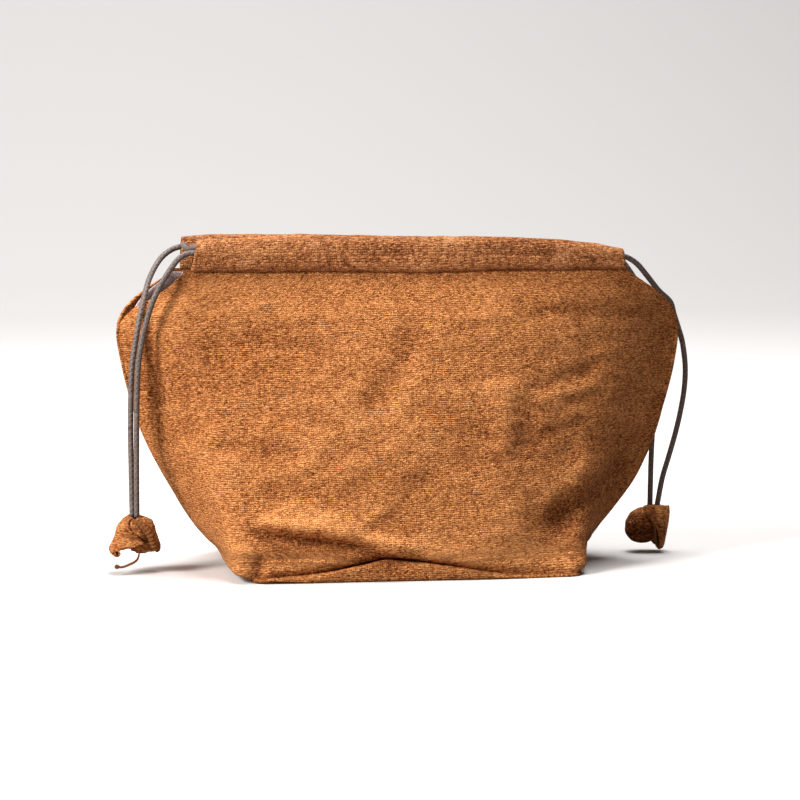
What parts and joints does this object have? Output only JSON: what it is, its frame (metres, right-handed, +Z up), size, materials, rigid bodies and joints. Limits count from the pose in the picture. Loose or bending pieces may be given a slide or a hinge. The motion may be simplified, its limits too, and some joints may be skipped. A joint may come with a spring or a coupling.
{
  "type": "drawstring storage bag",
  "caption": "Padded cloth pouch with a flat boxed base, two fold-in mouth flaps with sewn casings, and two opposed drawstrings ending in folded cloth covers.",
  "frame": {"origin": "the middle of the base, where it rests on the table", "axes": "+X along the mouth to the right, +Y from the front to the back, +Z up"},
  "size_m": [0.2344, 0.1056, 0.128],
  "materials": {
    "cloth": "matte rust-coloured cotton and linen weave",
    "lining": "smooth matte lilac-grey cotton",
    "wadding": "soft white needled wadding",
    "string": "waxed dark grey-brown braided string"
  },
  "bodies": {
    "root": {"base_panel": "cloth", "base_wadding": "wadding", "base_lining": "lining", "front_panel": "cloth", "front_wadding": "wadding", "front_lining": "lining", "back_panel": "cloth", "back_wadding": "wadding", "back_lining": "lining", "left_string_loop": "string", "left_string_front_shoulder": "string", "left_string_back_shoulder": "string", "right_string_loop": "string", "right_string_front_shoulder": "string", "right_string_back_shoulder": "string"},
    "front_mouth": {"front_flap": "cloth", "front_flap_lining": "lining", "front_casing": "cloth", "left_string_front_run": "string", "right_string_front_run": "string"},
    "back_mouth": {"back_flap": "cloth", "back_flap_lining": "lining", "back_casing": "cloth", "left_string_back_run": "string", "right_string_back_run": "string"},
    "left_tails": {"left_string_front_tail": "string", "left_string_back_tail": "string"},
    "left_end": {"left_string_cover": "cloth", "left_string_knot": "string"},
    "right_tails": {"right_string_front_tail": "string", "right_string_back_tail": "string"},
    "right_end": {"right_string_cover": "cloth", "right_string_knot": "string"}
  },
  "joints": [
    {"name": "front_mouth_fold", "type": "hinge", "parent": "root", "child": "front_mouth", "pos_m": [0, -0.027, 0.095], "axis": [1, 0, 0], "range_deg": [0, 45], "deforming": ["left_string_front_shoulder", "right_string_front_shoulder", "left_string_loop", "right_string_loop"]},
    {"name": "back_mouth_fold", "type": "hinge", "parent": "root", "child": "back_mouth", "pos_m": [0, 0.027, 0.095], "axis": [-1, 0, 0], "range_deg": [0, 45], "deforming": ["left_string_back_shoulder", "right_string_back_shoulder"]},
    {"name": "left_tails_swing", "type": "hinge", "parent": "root", "child": "left_tails", "pos_m": [-0.10565, -0.01295, 0.062], "axis": [0, 1, 0], "range_deg": [-8, 90]},
    {"name": "right_tails_swing", "type": "hinge", "parent": "root", "child": "right_tails", "pos_m": [0.1115, 0.01375, 0.084], "axis": [0, -1, 0], "range_deg": [-6, 90]},
    {"name": "left_end_rise", "type": "slide", "parent": "left_tails", "child": "left_end", "axis": [0, 0, 1], "range_m": [0, 0.033], "deforming": ["left_string_front_tail", "left_string_back_tail"]},
    {"name": "right_end_rise", "type": "slide", "parent": "right_tails", "child": "right_end", "axis": [0, 0, 1], "range_m": [0, 0.033], "deforming": ["right_string_front_tail", "right_string_back_tail"]}
  ],
  "couplings": [
    {"joint": "back_mouth_fold", "follows": "front_mouth_fold", "ratio": 1},
    {"joint": "left_end_rise", "follows": "front_mouth_fold", "m_per_rad": 0.04},
    {"joint": "right_end_rise", "follows": "front_mouth_fold", "m_per_rad": 0.04}
  ]
}
